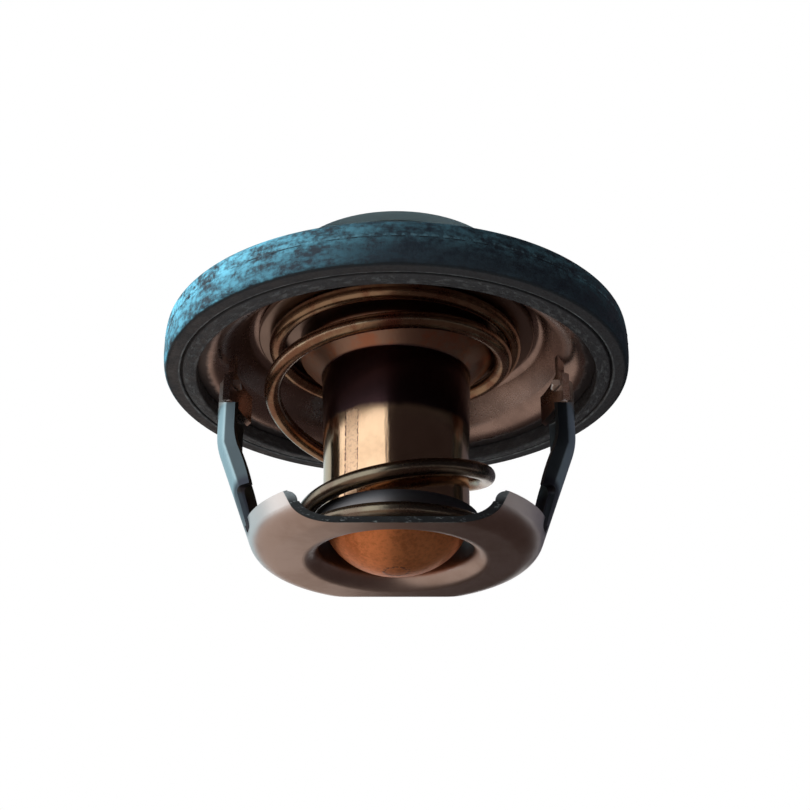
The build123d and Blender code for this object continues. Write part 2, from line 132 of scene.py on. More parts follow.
# %% One finish
class Finish(Graph):
    """A material with one Principled shader. Places, sizes and depths are in millimetres."""

    def __init__(self, name, colour, **constants):
        self.material = bpy.data.materials.new(name)
        self.material.use_nodes = True
        super().__init__(self.material.node_tree)
        self.shader = self.tree.nodes["Principled BSDF"]
        self.shader.inputs["Base Color"].default_value = (*colour, 1)
        for socket, value in constants.items():
            self.shader.inputs[socket.replace("_", " ")].default_value = value
        metres = self.node("ShaderNodeTexCoord", out="Object")
        self.place = self.vector("SCALE", {0: metres, "Scale": 1 / MM})
        split = self.node("ShaderNodeSeparateXYZ", sockets={0: self.place}, out=None)
        self.x, self.y, self.z = [Flow(self, output) for output in split.outputs]
        self.r = self.vector("LENGTH", {0: self.stretch(1, 1, 0)}, 1)
        self.angle = self.math("ARCTAN2", self.x, self.y * -1)

    def set(self, **flows):
        """Feed sockets of the shader with what changes over the surface."""
        for socket, flow in flows.items():
            self.tree.links.new(flow.socket, self.shader.inputs[socket.replace("_", " ")])

    def vector(self, operation, sockets, out=0):
        return self.node("ShaderNodeVectorMath", {"operation": operation}, sockets, out)

    def point(self, x, y, z):
        return self.node("ShaderNodeCombineXYZ", sockets={0: x, 1: y, 2: z})

    def stretch(self, x, y, z):
        """The place on the piece with each axis scaled, so that clouds get long where it is small."""
        return self.vector("MULTIPLY", {0: self.place, 1: (x, y, z)})

    def clouds(self, size, detail=3.0, rough=0.55, place=None):
        """Grey clouds of this size, about 0.5 on average."""
        sockets = {"Vector": place or self.place, "Scale": 1 / size, "Detail": detail, "Roughness": rough}
        return self.node("ShaderNodeTexNoise", sockets=sockets)

    def step(self, value, low, high):
        """0 where the value is under low, 1 where it is over high, smooth between."""
        settings = {"interpolation_type": "SMOOTHSTEP"}
        return self.node("ShaderNodeMapRange", settings, {0: value, 1: low, 2: high})

    def band(self, value, middle, half, soft):
        """1 where the value is within half of the middle, 0 beyond that and the soft edge."""
        off = self.math("ABSOLUTE", value - middle)
        return 1 - self.step(off, half, half + soft)

    def near(self, x, y, z, reach, place=None):
        """1 at this point, falling to 0 at the reach."""
        away = self.vector("DISTANCE", {0: place or self.place, 1: (x, y, z)}, 1)
        return 1 - self.step(away, reach * 0.2, reach)

    def relief(self, *layers):
        """Raise and sink the surface by pairs of a height from 0 to 1 and its depth."""
        height = sum(flow * depth for flow, depth in layers)
        self.set(Normal=self.node("ShaderNodeBump", sockets={"Distance": MM, "Height": height}))


print("the words for finishes are ready")

# %% [markdown]
# ## The camera
#
# The thermostat is seen from below and in front, from about 180 mm, so its near rim looks much
# larger than its far one. The line of sight meets the axis at the underside of the sealing ring.
# A small shift moves that point within the frame. Turning the camera would do it too, but that
# changes the shapes of the circles.

# %% Place the camera
RING_HEIGHT = 5.68
SIGHT_RISE = math.radians(26.864)
SIGHT_LENGTH = 180 * MM
IMAGE_SIDE = 810
FOCAL_PIXELS = 1404.7
AIM_PIXEL = (396.355, 384.449)

sight = Vector((0, math.cos(SIGHT_RISE), math.sin(SIGHT_RISE)))
camera_data = bpy.data.cameras.new("camera")
camera_data.sensor_width = 36
camera_data.lens = FOCAL_PIXELS / IMAGE_SIDE * camera_data.sensor_width
camera_data.shift_x = 0.5 - AIM_PIXEL[0] / IMAGE_SIDE
camera_data.shift_y = AIM_PIXEL[1] / IMAGE_SIDE - 0.5
camera_data.clip_start = 0.01
camera = bpy.data.objects.new("camera", camera_data)
camera.location = Vector((0, 0, -RING_HEIGHT / 2 * MM)) - sight * SIGHT_LENGTH
camera.rotation_euler = sight.to_track_quat("-Z", "Y").to_euler()
scene.collection.objects.link(camera)
scene.camera = camera
print(f"the lens is {camera_data.lens:.1f} mm")
print(f"the camera looks up by {math.degrees(SIGHT_RISE):.0f} degrees")

# %% [markdown]
# ## Outlines and turned pieces
#
# Nearly every piece here is round, as it comes from a press, a mould or a lathe. The builder writes
# its outline as radius and height, in millimetres, and turns it about the axis. A Screw modifier
# would turn it too, but code can change the radius on the way round, which the ring needs. Real edges
# are never quite sharp, and a soft one catches a thin line of light, so each corner carries its own
# rounding.


# %% Round the corners of an outline
def soften(corners, closed=False, steps=6):
    """Corners are (radius, height, setback): the rounding starts that far from the corner."""
    points = []
    for index, (radius, height, setback) in enumerate(corners):
        corner = Vector((radius, height))
        is_end = not closed and index in (0, len(corners) - 1)
        if is_end or not setback:
            points.append(corner)
            continue
        before = Vector(corners[index - 1][:2]) - corner
        after = Vector(corners[(index + 1) % len(corners)][:2]) - corner
        start = corner + before.normalized() * setback
        stop = corner + after.normalized() * setback
        for step in range(steps + 1):
            t = step / steps
            points.append(start * (1 - t) ** 2 + corner * 2 * t * (1 - t) + stop * t**2)
    return points


square = [(0, 0, 0.1), (1, 0, 0.1), (1, 1, 0.1), (0, 1, 0.1)]
print(f"a square with soft corners has {len(soften(square, closed=True))} points")


# %% Make a mesh into a piece
def finish_mesh(name, mesh, body):
    """A smooth piece that rides on a body."""
    for face in mesh.faces:
        face.smooth = True
    data = bpy.data.meshes.new(name)
    mesh.to_mesh(data)
    mesh.free()
    piece = bpy.data.objects.new(name, data)
    scene.collection.objects.link(piece)
    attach(piece, body)
    print(f"{name}: {len(data.polygons)} faces")
    return piece


# %% Turn an outline about the axis
SAME_POINT = 1e-7


def turn(name, outline, sectors, body, closed=False, wobble=None):
    """A turned mesh. The wobble gives an extra radius, in millimetres, at an angle and a height."""
    mesh = bmesh.new()
    rows = []
    for sector in range(sectors):
        angle = 2 * math.pi * sector / sectors
        row = []
        for radius, height in outline:
            reach = radius + (wobble(angle, radius, height) if wobble else 0)
            place = Vector((reach * math.cos(angle), reach * math.sin(angle), height)) * MM
            row.append(mesh.verts.new(place))
        rows.append(row)
    count = len(outline)
    for sector in range(sectors):
        here, there = rows[sector], rows[(sector + 1) % sectors]
        for i in range(count if closed else count - 1):
            j = (i + 1) % count
            mesh.faces.new((here[i], there[i], there[j], here[j]))
    bmesh.ops.remove_doubles(mesh, verts=mesh.verts, dist=SAME_POINT)
    bmesh.ops.recalc_face_normals(mesh, faces=mesh.faces)
    return finish_mesh(name, mesh, body)


# %% [markdown]
# ## The sealing ring
#
# The rubber ring is moulded in two halves, which leave a thin ragged line of flash round its outer
# wall. Its underside has a fine groove, and a lip that hangs a little lower where it grips the rim.
# The flash could be a bump in the finish, but it is in the mesh, because its shadow shows. Noise
# along the angle tears it here and there.

# %% The flash along the seam
RING_WALL = 29.62
OUTER_WALL_FROM = 29
SEAM_HEIGHT = 0.47
SEAM_REACH = 0.09
SEAM_HALF = 0.14
LONG_TEARS, SHORT_TEARS = 14, 55
TEARS_START = Vector((3, 0, 0))
MOSTLY_WHOLE = 0.25


def torn_seam(angle, radius, height):
    """The flash stands proud along the seam, and is missing where the noise tears it."""
    if radius < OUTER_WALL_FROM or abs(height - SEAM_HEIGHT) > 2 * SEAM_HALF:
        return 0
    around = Vector((math.cos(angle), math.sin(angle), 0))
    torn = noise.noise(around * LONG_TEARS + TEARS_START) + 0.5 * noise.noise(around * SHORT_TEARS)
    ridge = max(0, 1 - abs(height - SEAM_HEIGHT) / SEAM_HALF)
    return SEAM_REACH * (ridge * max(0, MOSTLY_WHOLE + torn) - 0.5 * (1 - ridge) * max(0, torn))


print(f"the flash stands about {SEAM_REACH} mm proud, {SEAM_HEIGHT} mm over the middle")

# %% Mould the ring
RING_TOP = RING_HEIGHT / 2
LIP_RADIUS = 25.4
RIM_RADIUS = 27.12
RIM_TOP, RIM_UNDERSIDE = -0.27, -1.26
RING_SECTORS = 720

underside = [
    (LIP_RADIUS, -3.19, 0.28),
    (26.65, -3.01, 0.2),
    (27.1, -RING_TOP, 0.08),
    (27.32, -2.54, 0.06),
    (27.55, -RING_TOP, 0.12),
    (29.4, -RING_TOP, 0.62),
]
seam = [(RING_WALL, SEAM_HEIGHT + SEAM_HALF * step / 2, 0) for step in range(-4, 5)]
wall = [(RING_WALL, -1.4, 0.8)] + seam + [(RING_WALL, 1.4, 0.6)]
topside = [(29.4, RING_TOP, 0.62), (LIP_RADIUS, RING_TOP, 0.4)]
slit_for_rim = [
    (LIP_RADIUS, RIM_TOP, 0.05),
    (RIM_RADIUS, RIM_TOP, 0),
    (RIM_RADIUS, RIM_UNDERSIDE, 0),
    (LIP_RADIUS, RIM_UNDERSIDE, 0.05),
]
ring_outline = soften(underside + wall + topside + slit_for_rim, closed=True)
ring = turn("sealing_ring", ring_outline, RING_SECTORS, "frame", True, torn_seam)
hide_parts("rubber_seal")

# %% [markdown]
# ## The wax capsule
#
# The capsule is drawn from copper in one piece: a head under the disc, a cone, a long barrel that
# tapers very slightly, and a round bulb. It could be cones and a half ball put together, but one
# turned outline leaves no joints between them, and copper would show every joint.

# %% Draw the capsule
HEAD_RADIUS = 12.4
BULB_RADIUS = 9.0
BULB_LEVEL = -20.92
BULB_LENGTH = 7.2
BULB_STEPS = 28
CAPSULE_SECTORS = 256

capsule_corners = [
    (0, 2.5, 0),
    (10.6, 2.5, 0.05),
    (10.6, 3.2, 0.05),
    (HEAD_RADIUS, 3.2, 0.12),
    (HEAD_RADIUS, 0.84, 0.35),
    (9.5, -2.12, 0.3),
    (9.05, -14.82, 0.6),
    (BULB_RADIUS, BULB_LEVEL, 0),
]
bulb_angles = [math.pi / 2 * step / BULB_STEPS for step in range(1, BULB_STEPS + 1)]
bulb = [
    Vector((BULB_RADIUS * math.cos(angle), BULB_LEVEL - BULB_LENGTH * math.sin(angle)))
    for angle in bulb_angles
]
capsule = turn("capsule", soften(capsule_corners) + bulb, CAPSULE_SECTORS, "valve")
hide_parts("element_cup")

# %% [markdown]
# ## The spring
#
# The return spring is one length of round wire. Its lowest turn lies in the trough, the middle one
# opens out, and the top two press on the disc. A few stations give the rise, the spread and the lean
# at each turn, and a smooth curve runs through them. The wire is a mesh tube rather than a curve,
# because a mesh can be squashed when the valve opens and the spring shortens.

# %% The stations of the wire
WIRE_RADIUS = 1.04
LOW_RADIUS, HIGH_RADIUS = 11.45, 15.1
LOW_LEVEL, HIGH_LEVEL = -24.7, 2.14

# turns, share of the rise, share of the spread, lean in millimetres
STATIONS = [
    (-0.52, 0.000, 0.00, 0.0),
    (-0.20, 0.000, 0.00, 0.0),
    (0.25, 0.054, -0.03, 0.0),
    (0.50, 0.110, -0.04, 0.0),
    (0.75, 0.190, -0.08, 0.0),
    (1.00, 0.338, -0.05, 0.0),
    (1.36, 0.628, 0.66, 0.8),
    (1.50, 0.742, 0.90, 1.0),
    (1.75, 0.850, 0.95, 1.0),
    (2.00, 0.930, 0.93, 1.0),
    (2.25, 0.984, 0.96, 0.6),
    (2.50, 1.000, 1.00, 0.3),
    (3.00, 1.000, 1.00, 0.0),
    (3.10, 1.000, 1.12, 0.0),
]
first, last = STATIONS[0][0], STATIONS[-1][0]
print(f"{len(STATIONS)} stations over {last - first:.2f} turns")


# %% The line of the wire
def shares(turns):
    """The rise, the spread and the lean, on a smooth curve through the stations."""
    final = len(STATIONS) - 1
    low = max(i for i in range(final) if STATIONS[i][0] <= turns)
    span = STATIONS[low + 1][0] - STATIONS[low][0]
    t = (turns - STATIONS[low][0]) / span
    result = []
    for column in (1, 2, 3):
        slopes = []
        for i in (low, low + 1):
            before, after = STATIONS[max(i - 1, 0)], STATIONS[min(i + 1, final)]
            slopes.append((after[column] - before[column]) / (after[0] - before[0]) * span)
        start, stop = STATIONS[low][column], STATIONS[low + 1][column]
        value = start * (1 + 2 * t) * (1 - t) ** 2 + stop * (3 - 2 * t) * t**2
        result.append(value + slopes[0] * t * (1 - t) ** 2 - slopes[1] * (1 - t) * t**2)
    return result


def wire_at(turns):
    """The middle of the wire after this many turns, in metres."""
    rise, spread, lean = shares(turns)
    radius = LOW_RADIUS + spread * (HIGH_RADIUS - LOW_RADIUS)
    angle = 2 * math.pi * turns
    level = LOW_LEVEL + min(max(rise, 0), 1) * (HIGH_LEVEL - LOW_LEVEL)
    return Vector((radius * math.cos(angle) - lean, radius * math.sin(angle), level)) * MM


RINGS_PER_TURN = 96
ring_count = round((last - first) * RINGS_PER_TURN)
line = [wire_at(first + (last - first) * i / ring_count) for i in range(ring_count + 1)]
print(f"the wire is {sum((b - a).length for a, b in zip(line, line[1:])) / MM:.0f} mm long")

# %% Wind the wire
WIRE_SIDES = 24
CUT_END = 0.86

mesh = bmesh.new()
rings = []
for index, middle in enumerate(line):
    ahead = line[min(index + 1, ring_count)] - line[max(index - 1, 0)]
    ahead.normalize()
    across = Vector((middle.x, middle.y, 0)).normalized()
    across = (across - ahead * across.dot(ahead)).normalized()
    upward = ahead.cross(across)
    is_cut_end = index in (0, ring_count)
    radius = WIRE_RADIUS * MM * (CUT_END if is_cut_end else 1)
    loop = []
    for side in range(WIRE_SIDES):
        angle = 2 * math.pi * side / WIRE_SIDES
        outward = across * math.cos(angle) + upward * math.sin(angle)
        loop.append(mesh.verts.new(middle + outward * radius))
    rings.append(loop)
for here, there in zip(rings, rings[1:]):
    for side in range(WIRE_SIDES):
        other = (side + 1) % WIRE_SIDES
        mesh.faces.new((here[side], here[other], there[other], there[side]))
for loop in (rings[0], rings[-1]):
    mesh.faces.new(loop)
bmesh.ops.recalc_face_normals(mesh, faces=mesh.faces)
wire = finish_mesh("spring_wire", mesh, "frame")
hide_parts("spring")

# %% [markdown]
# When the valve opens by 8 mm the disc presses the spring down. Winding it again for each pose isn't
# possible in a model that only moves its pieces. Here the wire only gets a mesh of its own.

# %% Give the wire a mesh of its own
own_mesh(wire)

# %% [markdown]
# ## Finishes
#
# Each finish starts from what the surface is and what has happened to it. Numbers that are the same
# all over sit on the shader itself. Only what changes over the surface is built from nodes. Most
# colours say what the surface is under any light, and most light and shade is left to the lamps and
# the cards, but some colours paint light and shade, as the cells below say.
#
# ### Rubber
#
# Old rubber is a dull near-black. Coolant dries on it as a blue film, in patches and in streaks round
# the ring. The film is made strongest on the side towards the window lamp and on the upper half, and
# faint at the back, which is painted light. One noise would give round spots, so three sizes of
# clouds are added up, which makes patches with ragged edges. Clouds laid out along the angle make
# streaks that bend with the ring.

# %% Rubber: the film on the wall, spread as painted light
STREAK_RADIUS = 27
STREAK_STRETCH = 0.4

rubber = Finish("seal_rubber", (0.03, 0.035, 0.04), Roughness=0.6, Specular_IOR_Level=0.3)
blotches = rubber.clouds(3.5, 6, 0.68)
specks = rubber.clouds(0.7, 4, 0.65)
along = rubber.point(rubber.angle * (STREAK_RADIUS * STREAK_STRETCH), rubber.r, rubber.z)
streaks = rubber.clouds(1.1, 5, 0.7, along)
film_patches = rubber.step(blotches * 0.3 + specks * 0.3 + streaks * 0.5, 0.46, 0.66)
# Painted light: the film grows stronger towards the window lamp's side and on the upper half, and fainter
# at the back.
window_side_light = rubber.step(rubber.x * -1, -2, 26)
lit_upper_half = rubber.step(rubber.z, -1.3, 1.3)
at_the_back = rubber.step(rubber.y, -6, 16)
film_and_painted_light = window_side_light * (lit_upper_half * 0.35 + 0.6) + lit_upper_half * 0.14
film_and_painted_light = film_and_painted_light * (1 - at_the_back * 0.65) + 0.02
wall_colour = rubber.mix(film_patches * film_and_painted_light, (0.010, 0.014, 0.021), (0.16, 0.44, 0.56))
print(f"the film takes {len(rubber.tree.nodes)} nodes")

# %% Rubber: the seam
over_seam = rubber.z - SEAM_HEIGHT
torn_bits = rubber.step(rubber.clouds(1.4, 5, 0.7), 0.46, 0.56)
seam_line = rubber.band(over_seam, 0.09, 0.04, 0.08) * torn_bits
rubbed = rubber.band(over_seam, 0.32, 0.08, 0.10) * rubber.step(specks, 0.42, 0.60)
wall_colour = rubber.mix(rubbed * 0.15, wall_colour, (0.22, 0.36, 0.42))
wall_colour = rubber.mix(seam_line * 0.95, wall_colour, (0.003, 0.005, 0.009))
print(f"with the seam there are {len(rubber.tree.nodes)} nodes")

# %% Rubber: the underside
worn = rubber.step(rubber.clouds(0.6, 5, 0.7, along), 0.47, 0.62)
ridge = rubber.band(rubber.r, 27.58, 0.05, 0.16)
lip = rubber.band(rubber.r, 26.2, 0.6, 0.4)
# Painted shade: the groove in the underside is darkened almost to black.
groove = rubber.band(rubber.r, 27.3, 0.1, 0.15)
under_colour = rubber.mix(ridge * (worn * 0.5 + 0.25), (0.038, 0.033, 0.034), (0.20, 0.19, 0.185))
under_colour = rubber.mix(lip * worn * 0.4, under_colour, (0.15, 0.14, 0.135))
under_colour = rubber.mix(groove * 0.85, under_colour, (0.006, 0.006, 0.007))
print(f"with the underside there are {len(rubber.tree.nodes)} nodes")

# %% Rubber: put it together
wavy_level = rubber.z + (blotches - 0.5) * 0.2
is_wall = rubber.step(wavy_level, -2.76, -2.68) * rubber.step(rubber.r, 28.4, 28.7)
# Painted shade: the rounded lower edge of the outer wall, and the slit over the rim, are darkened.
fold_shade = rubber.band(wavy_level, -2.77, 0.05, 0.12) * rubber.step(rubber.r, 28.8, 29.1)
slit_shade = rubber.step(rubber.z, -1.6, -1.3) * (1 - rubber.step(rubber.r, 27.2, 27.6))
rubber_colour = rubber.mix(is_wall, under_colour, wall_colour)
rubber_colour = rubber.mix(fold_shade * 0.8, rubber_colour, (0.006, 0.010, 0.014))
rubber_colour = rubber.mix(slit_shade, rubber_colour, (0.008, 0.008, 0.009))
rubber.set(Base_Color=rubber_colour, Roughness=0.45 + film_patches * 0.3)
rubber.relief((blotches, 0.12), (specks, 0.06), (worn * lip, 0.06))
print(f"the finished rubber has {len(rubber.tree.nodes)} nodes")

# %% [markdown]
# ### Drawn steel of the flange
#
# Drawn stainless sheet is smooth, under a thin film of oil whose colour changes slowly. The corner by
# the ring is darkened, as painted shade with some grime. An Ambient Occlusion node would find that
# corner, but it is slow, and the corner is a plain circle. So its mask is the distance from the axis
# with a ragged edge. The crown is painted as lighter, cleaner steel, partly a painted sheen, and a
# blue patch on its front shoulder is a painted reflection.

# %% Flange: oil, and painted shade with some grime in the corner
flange_steel = Finish("flange_steel", (0.30, 0.25, 0.225), Metallic=1.0, Roughness=0.3)
film = flange_steel.clouds(5, 4, 0.6)
grain = flange_steel.clouds(0.3, 2, 0.6)
thin_oil = flange_steel.step(film, 0.35, 0.65)
ragged_radius = flange_steel.r + (flange_steel.clouds(1.2, 4, 0.65) - 0.5) * 1.2
# Painted shade, with some grime: the corner by the ring is darkened.
shade_and_grime = flange_steel.step(ragged_radius, 23.8, 24.5)
steel_colour = flange_steel.mix(thin_oil, (0.46, 0.375, 0.35), (0.36, 0.29, 0.27))
steel_colour = flange_steel.mix(shade_and_grime * 0.85, steel_colour, (0.03, 0.022, 0.024))
print(f"oil and grime take {len(flange_steel.tree.nodes)} nodes")

# %% Flange: the crown
# Partly a painted sheen: the crown is made lighter and cleaner than the rest of the flange.
crown_clean_and_sheen = flange_steel.step(flange_steel.z, 10, 12)
crown_front = flange_steel.step(flange_steel.y * -1, 4, 9)
# Painted reflection: a blue patch on the crown's front shoulder, dull rather than metallic.
blue_reflection = flange_steel.band(flange_steel.z, 14.6, 1.2, 1.4) * crown_front
steel_colour = flange_steel.mix(crown_clean_and_sheen, steel_colour, (0.66, 0.68, 0.68))
steel_colour = flange_steel.mix(blue_reflection * 0.9, steel_colour, (0.42, 0.66, 0.78))
dull = 0.19 + film * 0.12 + grain * 0.06 + shade_and_grime * 0.2 + crown_clean_and_sheen * 0.12
flange_steel.set(Base_Color=steel_colour, Metallic=1 - blue_reflection * 0.9 - shade_and_grime * 0.3, Roughness=dull)
flange_steel.relief((grain, 0.004), (film, 0.02))
print(f"the finished flange has {len(flange_steel.tree.nodes)} nodes")

# %% [markdown]
# ### Satin steel of the bridge
#
# The lower bridge is pressed from thinner, satin sheet. Its legs are painted a cooler tone than its
# trough, as painted light from the bluish window. Their insides are darkened as painted shade, and
# the tongues at their tops are painted near white, partly as rubbing by the lugs and partly as a
# painted highlight. Each face could have a material of its own, but tones that fade into each other
# need masks. The piece is nearly the same on both sides, so a mask uses the size of x or y without
# its sign. Where the sheet was sheared off straight, the cut is dark with bright flecks, and the cut
# edges of the ears are painted bright as a highlight.

# %% Bridge: the sheet and its legs
LEG_OUTSIDE = 22.5
LEG_BEND_LEVEL = -12.2
LEG_LEAN = 0.364

bridge_steel = Finish("bridge_steel", (0.5, 0.45, 0.42), Metallic=1.0, Roughness=0.35)
film = bridge_steel.clouds(6, 4, 0.6)
grain = bridge_steel.clouds(0.25, 2, 0.6)
thin_oil = bridge_steel.step(film, 0.35, 0.65)
half_x = bridge_steel.math("ABSOLUTE", bridge_steel.x)
half_y = bridge_steel.math("ABSOLUTE", bridge_steel.y)
below_bend = bridge_steel.math("MINIMUM", bridge_steel.z - LEG_BEND_LEVEL, 0.0)
from_outside = LEG_OUTSIDE + below_bend * LEG_LEAN - half_x
trough_wall = bridge_steel.step(bridge_steel.z, -26.7, -24.2)
is_leg = bridge_steel.step(bridge_steel.z, -23.2, -21.5)
tongue = bridge_steel.step(bridge_steel.z, -7.2, -6.4)
# Painted shade: the insides of the legs are darkened.
leg_inside_shade = bridge_steel.step(from_outside, 1.1, 1.4) * is_leg * (1 - tongue)
satin = bridge_steel.mix(thin_oil, (0.62, 0.56, 0.54), (0.52, 0.45, 0.42))
satin = bridge_steel.mix(trough_wall, satin, (0.78, 0.69, 0.66))
# Painted light: the legs' cooler, bluer tone stands in for the window's bluish light.
satin = bridge_steel.mix(is_leg, satin, (0.44, 0.56, 0.60))
# The tongues are painted near white, partly as rubbing by the lugs and partly as a painted highlight.
satin = bridge_steel.mix(tongue * 0.9, satin, (0.95, 0.93, 0.90))
satin = bridge_steel.mix(leg_inside_shade * 0.9, satin, (0.05, 0.06, 0.07))
print(f"the sheet and its legs take {len(bridge_steel.tree.nodes)} nodes")

# %% Bridge: painted shade by the notches and on the collar
folded_place = bridge_steel.point(half_x, half_y, bridge_steel.z)
# Painted shade: the insides of the relief notches and the top of the collar are darkened.
notch_shade = bridge_steel.step(bridge_steel.near(18.2, 3.2, -20.7, 5.0, folded_place), 0.1, 0.5)
over_collar = bridge_steel.step(bridge_steel.z, -25.6, -25.0)
collar_top_shade = over_collar * (1 - bridge_steel.step(bridge_steel.r, 11.2, 11.8))
satin = bridge_steel.mix(notch_shade * 0.9, satin, (0.045, 0.045, 0.06))
satin = bridge_steel.mix(collar_top_shade * 0.85, satin, (0.07, 0.06, 0.065))
print(f"with its grime there are {len(bridge_steel.tree.nodes)} nodes")

# %% Bridge: the sheared cuts
sheared = bridge_steel.step(half_y, 13.08, 13.14) * (1 - is_leg)
shear_marks = bridge_steel.clouds(0.3, 5, 0.7, bridge_steel.stretch(0.3, 1, 1))
flecks = bridge_steel.step(shear_marks, 0.56, 0.70)
# Painted highlight: the cut edges of the ears are made bright.
ear_edge_highlight = bridge_steel.step(bridge_steel.z, -24.5, -23.2)
shear_colour = bridge_steel.mix(flecks, (0.08, 0.08, 0.082), (0.60, 0.64, 0.64))
shear_colour = bridge_steel.mix(ear_edge_highlight * 0.7, shear_colour, (0.70, 0.74, 0.76))
satin = bridge_steel.mix(sheared, satin, shear_colour)
dull = 0.24 + film * 0.12 + grain * 0.08 + leg_inside_shade * 0.12
bridge_steel.set(Base_Color=satin, Roughness=dull)
bridge_steel.relief((grain, 0.005), (film, 0.04), (shear_marks * sheared, 0.02))
print(f"the finished bridge has {len(bridge_steel.tree.nodes)} nodes")

# %% [markdown]
# ### Copper of the capsule
#
# The barrel was drawn through a die, which leaves it bright with fine lines along its length. An
# anisotropic gloss would smear its highlights but show no lines, so clouds are squeezed round the
# axis and stretched along it instead. The barrel's top is darkened almost to black, as painted shade
# under the flange, and two lines with scuffs between them were worn by something that rubbed there.
# The head is stained and darkened just under the disc as painted shade, and the bulb is dull and
# mottled, with a faint ring where the punch was.

# %% Copper: the barrel
copper = Finish("copper", (0.7, 0.42, 0.22), Metallic=1.0, Roughness=0.28)
film = copper.clouds(5, 5, 0.6)
fine = copper.clouds(0.5, 4, 0.65)
drawn = copper.clouds(1.0, 3, 0.6, copper.stretch(3, 3, 0.1))
ragged_top = copper.z + (copper.clouds(3, 4, 0.6) - 0.5) * 1.2
# Painted shade: the barrel's top, above a ragged line, is darkened almost to black.
shaded_top = copper.step(ragged_top, -10.6, -9.6)
barrel = copper.mix(copper.step(film, 0.4, 0.65) * 0.35, (0.84, 0.53, 0.33), (0.50, 0.27, 0.15))
barrel = copper.mix(shaded_top, barrel, (0.085, 0.042, 0.045))
print(f"the barrel takes {len(copper.tree.nodes)} nodes")

# %% Copper: wear on the barrel
worn_place = (1 - copper.step(copper.y, -4, -2)) * (1 - shaded_top)
scuffed = copper.band(copper.x, -5.36, 0.70, 0.2) * worn_place
speckled = copper.step(copper.clouds(0.28, 3, 0.7), 0.50, 0.60)
frayed = copper.step(copper.clouds(0.5, 4, 0.75), 0.40, 0.52)
left_line = copper.band(copper.x + (fine - 0.5) * 0.4, -6.10, 0.04, 0.07)
right_line = copper.band(copper.x + (fine - 0.5) * 0.6, -4.62, 0.03, 0.06)
wear_lines = (left_line + right_line) * frayed * worn_place
barrel = copper.mix(scuffed * speckled * 0.45, barrel, (0.42, 0.22, 0.17))
barrel = copper.mix(wear_lines * 0.9, barrel, (0.10, 0.05, 0.045))
print(f"with its wear there are {len(copper.tree.nodes)} nodes")

# %% Copper: the bulb and the head
is_bulb = 1 - copper.step(copper.z, -22.2, -20.5)
mottle = copper.step(film * 0.5 + fine * 0.5, 0.42, 0.62)
punch_ring = copper.band(copper.r, 1.5, 0.1, 0.2) * copper.step(fine, 0.42, 0.55)
bulb_colour = copper.mix(mottle, (0.84, 0.31, 0.12), (0.60, 0.20, 0.07))
bulb_colour = copper.mix(punch_ring * 0.8, bulb_colour, (0.16, 0.06, 0.035))
is_head = copper.step(copper.z, -2.3, -1.9)
stains = copper.step(copper.clouds(3.5, 4, 0.6), 0.44, 0.68)
# Painted shade: the head is darkened just under the disc.
shade_under_disc = copper.step(copper.z, 0.6, 1.2)
head_colour = copper.mix(stains * 0.7, (0.44, 0.30, 0.23), (0.55, 0.22, 0.12))
head_colour = copper.mix(shade_under_disc * 0.8, head_colour, (0.06, 0.03, 0.03))
print(f"with bulb and head there are {len(copper.tree.nodes)} nodes")

# %% Copper: put it together
capsule_colour = copper.mix(is_bulb, copper.mix(is_head, barrel, head_colour), bulb_colour)
dull = 0.11 + drawn * 0.06 + scuffed * 0.16 + is_bulb * 0.26 + is_head * 0.16 + shaded_top * 0.1
copper.set(Base_Color=capsule_colour, Metallic=1 - is_bulb * 0.12, Roughness=dull)
copper.relief((drawn, 0.012), (fine * (is_bulb + is_head + scuffed), 0.02), (punch_ring, 0.03))
print(f"the finished copper has {len(copper.tree.nodes)} nodes")

# %% [markdown]
# ### Spring wire
#
# The wire has a brown film of burnt oil, in patches about as large as the wire is thick. The low
# turns, which lie in the trough, are duller, and one red stain sits on the front of a top turn. The
# turns lie at different heights, so a mask by height picks them out, and the wire needs no unwrapping.

# %% Spring wire
wire_steel = Finish("spring_wire", (0.36, 0.27, 0.16), Metallic=1.0, Roughness=0.28)
film = wire_steel.clouds(3, 4, 0.6)
fine = wire_steel.clouds(0.4, 3, 0.6)
burnt = wire_steel.step(film, 0.38, 0.62)
low_turns = 1 - wire_steel.step(wire_steel.z, -18.5, -15.0)
red_stain = wire_steel.near(-0.8, -14.6, -1.9, 2.4)
wire_colour = wire_steel.mix(burnt, (0.44, 0.33, 0.22), (0.30, 0.17, 0.11))
wire_colour = wire_steel.mix(low_turns * 0.6, wire_colour, (0.13, 0.12, 0.10))
wire_colour = wire_steel.mix(red_stain * 0.8, wire_colour, (0.34, 0.07, 0.05))
wire_steel.set(Base_Color=wire_colour, Roughness=0.16 + film * 0.12 + fine * 0.08)
wire_steel.relief((fine, 0.006))
print(f"the finished wire has {len(wire_steel.tree.nodes)} nodes")

# %% [markdown]
# ### The other pieces
#
# The disc, the piston and the guide are clean metal that shows little of itself, and the diaphragm
# and the wax are shut in. Each has one colour. One gloss all over looks like plastic, so the gloss
# drifts a little, as it does on a turned or ground face.


# %% Finishes with a drifting gloss
def drifting(name, colour, size, gloss, drift, **constants):
    """A finish whose roughness drifts, from gloss to gloss and drift, in clouds of this size."""
    finish = Finish(name, colour, **constants)
    finish.set(Roughness=gloss + finish.clouds(size) * drift)
    return finish


